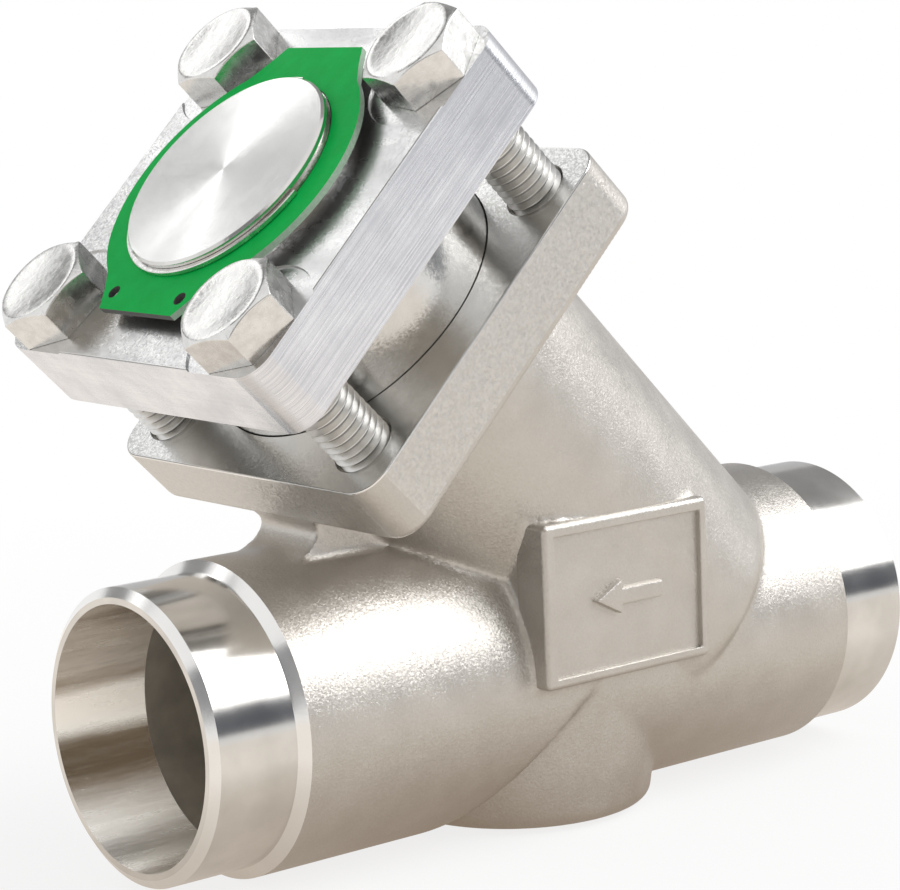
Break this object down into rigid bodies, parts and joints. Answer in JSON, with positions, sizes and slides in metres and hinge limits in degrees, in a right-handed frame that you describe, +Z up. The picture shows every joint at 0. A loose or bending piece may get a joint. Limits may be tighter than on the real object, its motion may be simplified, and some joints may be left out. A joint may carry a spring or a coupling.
{
  "type": "non-return valve",
  "caption": "Straight-way lift non-return valve: cast body with butt-weld pipe ends, a neck leaning back over the outlet, a square bolted bonnet and a spring-closed sliding cone.",
  "frame": {"origin": "centre of the inlet weld face, on the pipe axis", "axes": "+X out of the inlet along the pipe axis, so the fluid runs towards -X; +Z up, away from the foot; the side panel faces -Y; the neck leans 45 degrees from +Z towards -X"},
  "size_m": [0.1547, 0.07, 0.139],
  "materials": {
    "body_steel": "bead-blasted casting with machined ends",
    "bonnet_steel": "cut plate, ground top",
    "bolt_steel": "plain stainless",
    "inner_steel": "turned",
    "spring_steel": "bright drawn",
    "green_paint": "satin green",
    "gasket_fibre": "matt",
    "soft_ring": "white fluoroplastic"
  },
  "bodies": {
    "housing_assembly": {"housing": "body_steel", "bonnet": "bonnet_steel", "bonnet_gasket": "gasket_fibre", "damping_cylinder": "inner_steel", "bolt_front": "bolt_steel", "bolt_left": "bolt_steel", "bolt_back": "bolt_steel", "bolt_right": "bolt_steel", "ring_plate": "green_paint", "snap_ring": "spring_steel", "closing_spring": "spring_steel"},
    "cone_assembly": {"valve_cone": "inner_steel", "piston_ring": "soft_ring", "seal_ring": "soft_ring", "seal_clamp_plate": "inner_steel", "clamp_screw": "bolt_steel", "lock_washer": "spring_steel"}
  },
  "joints": [
    {"name": "cone_lift", "type": "slide", "parent": "housing_assembly", "child": "cone_assembly", "axis": [-0.7071, 0, 0.7071], "range_m": [0, 0.012], "stiffness_N_per_m": 250, "springref_m": -0.02, "deforming": ["closing_spring"]}
  ]
}
